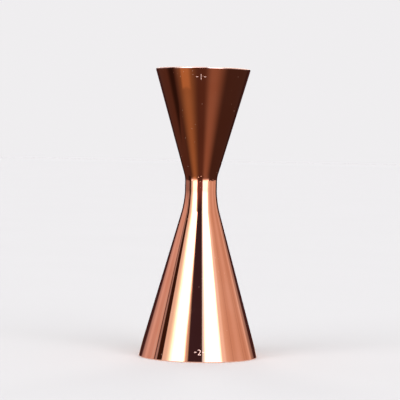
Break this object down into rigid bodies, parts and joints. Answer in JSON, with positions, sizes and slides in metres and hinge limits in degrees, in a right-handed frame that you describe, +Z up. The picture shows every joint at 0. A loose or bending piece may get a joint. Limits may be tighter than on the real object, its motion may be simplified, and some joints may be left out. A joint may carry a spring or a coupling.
{
  "type": "bar jigger",
  "caption": "Double cone spirit measure: a small cup and a large cup joined end to end at a narrow waist.",
  "frame": {"origin": "middle of the lower rim, on the surface that the jigger stands on", "axes": "+Z up along the axis of both cups, the larger cup below with its mouth down; -Y is the front, which the capacity marks face"},
  "size_m": [0.0534, 0.0534, 0.129],
  "materials": {
    "polished_copper": "mirror-polished copper plating on stainless steel",
    "dressed_weld": "weld bead ground flush, polished and copper plated, a little less smooth than the cups"
  },
  "bodies": {
    "root": {"upper_cup": "polished_copper", "lower_cup": "polished_copper", "waist_weld": "dressed_weld"}
  },
  "joints": []
}
